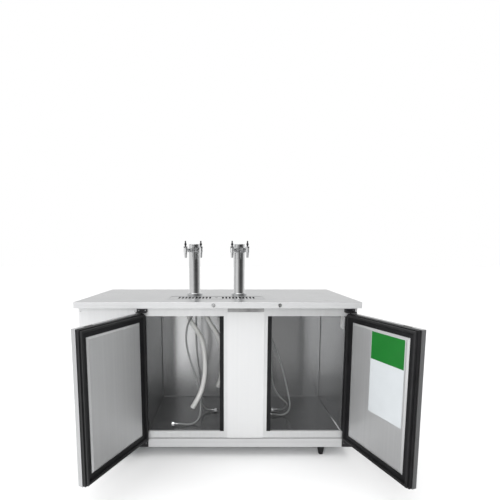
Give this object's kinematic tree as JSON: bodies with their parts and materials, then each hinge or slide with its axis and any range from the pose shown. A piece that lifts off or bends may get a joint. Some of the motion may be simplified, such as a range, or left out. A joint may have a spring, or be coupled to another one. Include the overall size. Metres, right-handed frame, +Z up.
{
  "type": "direct draw keg cooler",
  "caption": "Stainless undercounter keg cooler with hinged solid doors, a side machine bay, a built-in drip tray and round draft towers with double faucets.",
  "frame": {"origin": "on the floor, under the middle of the counter", "axes": "+X to the right as seen from the front, +Y to the back, +Z up"},
  "size_m": [1.8712, 1.2206, 1.39],
  "materials": {
    "stainless": "satin",
    "bright_plate": "satin",
    "galvanised": "matte",
    "chrome": "polished",
    "dark_steel": "satin",
    "black_plastic": "matte",
    "black_paint": "satin",
    "rubber": "matte",
    "foam": "matte",
    "clear_line": "gloss",
    "white_hose": "satin",
    "fins": "satin",
    "grey_plastic": "matte",
    "copper": "satin"
  },
  "bodies": {
    "cabinet": {"base_rail": "stainless", "body_panels": "stainless", "face_frame": "stainless", "machine_panel": "stainless", "counter_top": "stainless", "drip_tray": "stainless", "liner": "stainless", "base_pan": "galvanised", "back_panel": "galvanised", "evaporator_housing": "galvanised", "post_cover": "bright_plate", "insulation": "foam", "breaker_posts": "black_plastic", "feet": "black_plastic", "cord_gland": "black_plastic", "tower_throats": "black_plastic", "air_ducts": "black_plastic", "drain_tubes": "rubber", "hinge_brackets": "black_paint", "compressor": "black_paint", "fan_shroud": "black_paint", "tower_columns": "chrome", "tower_caps": "chrome", "flange_screws": "chrome", "shank_nuts": "chrome", "faucet_bodies": "chrome", "faucet_shanks": "chrome", "lock_barrels": "chrome", "line_nuts": "chrome", "beer_line_1": "clear_line", "beer_line_2": "clear_line", "beer_line_3": "clear_line", "beer_line_4": "clear_line", "tower_risers": "clear_line", "air_hose_1": "white_hose", "air_hose_2": "white_hose", "condenser_coil": "fins", "evaporator_coil": "fins", "control_box": "grey_plastic", "refrigerant_lines": "copper"},
    "left_door": {"door_skin_left": "stainless", "door_pan_left": "stainless", "door_core_left": "foam", "door_ring_left": "black_plastic", "door_gasket_left": "rubber"},
    "right_door": {"door_skin_right": "stainless", "door_pan_right": "stainless", "door_core_right": "foam", "door_ring_right": "black_plastic", "door_gasket_right": "rubber"},
    "lever_1": {"faucet_lever_1": "dark_steel"},
    "lever_2": {"faucet_lever_2": "dark_steel"},
    "lever_3": {"faucet_lever_3": "dark_steel"},
    "lever_4": {"faucet_lever_4": "dark_steel"},
    "lock_left": {"lock_plug_left": "dark_steel"},
    "lock_right": {"lock_plug_right": "dark_steel"},
    "condenser_fan": {"condenser_fan": "grey_plastic"},
    "evaporator_fan": {"evaporator_fan": "grey_plastic"},
    "thermostat_knob": {"thermostat_knob": "black_plastic"},
    "drip_grate": {"drip_grate": "stainless"}
  },
  "joints": [
    {"name": "left_door_hinge", "type": "hinge", "parent": "cabinet", "child": "left_door", "pos_m": [-0.463, -0.336, 0.539], "axis": [0, 0, 1], "range_deg": [0, 114.3]},
    {"name": "right_door_hinge", "type": "hinge", "parent": "cabinet", "child": "right_door", "pos_m": [0.807, -0.336, 0.539], "axis": [0, 0, -1], "range_deg": [-4.7, 109.6]},
    {"name": "lever_1_tilt", "type": "hinge", "parent": "cabinet", "child": "lever_1", "pos_m": [-0.21465, -0.12515, 1.347], "axis": [0.8942, -0.4478, 0], "range_deg": [0, 36]},
    {"name": "lever_2_tilt", "type": "hinge", "parent": "cabinet", "child": "lever_2", "pos_m": [-0.11435, -0.12515, 1.347], "axis": [0.8942, 0.4478, 0], "range_deg": [0, 36]},
    {"name": "lever_3_tilt", "type": "hinge", "parent": "cabinet", "child": "lever_3", "pos_m": [0.09035, -0.12515, 1.347], "axis": [0.8942, -0.4478, 0], "range_deg": [0, 36]},
    {"name": "lever_4_tilt", "type": "hinge", "parent": "cabinet", "child": "lever_4", "pos_m": [0.19065, -0.12515, 1.347], "axis": [0.8942, 0.4478, 0], "range_deg": [0, 36]},
    {"name": "lock_left_turn", "type": "hinge", "parent": "cabinet", "child": "lock_left", "pos_m": [-0.026, -0.35, 1.002], "axis": [0, -1, 0], "range_deg": [0, 90]},
    {"name": "lock_right_turn", "type": "hinge", "parent": "cabinet", "child": "lock_right", "pos_m": [0.37, -0.35, 1.002], "axis": [0, 1, 0], "range_deg": [0, 90]},
    {"name": "condenser_fan_spin", "type": "hinge", "parent": "cabinet", "child": "condenser_fan", "pos_m": [-0.6852, -0.207, 0.28], "axis": [0, 1, 0], "continuous": true},
    {"name": "evaporator_fan_spin", "type": "hinge", "parent": "cabinet", "child": "evaporator_fan", "pos_m": [0.202, 0.1826, 0.815], "axis": [0, 1, 0], "continuous": true},
    {"name": "thermostat_turn", "type": "hinge", "parent": "cabinet", "child": "thermostat_knob", "pos_m": [-0.5604, -0.318, 0.8], "axis": [0, -1, 0], "range_deg": [0, 270]},
    {"name": "drip_grate_lift", "type": "slide", "parent": "cabinet", "child": "drip_grate", "axis": [0, 0, 1], "range_m": [0, 0.05]}
  ]
}
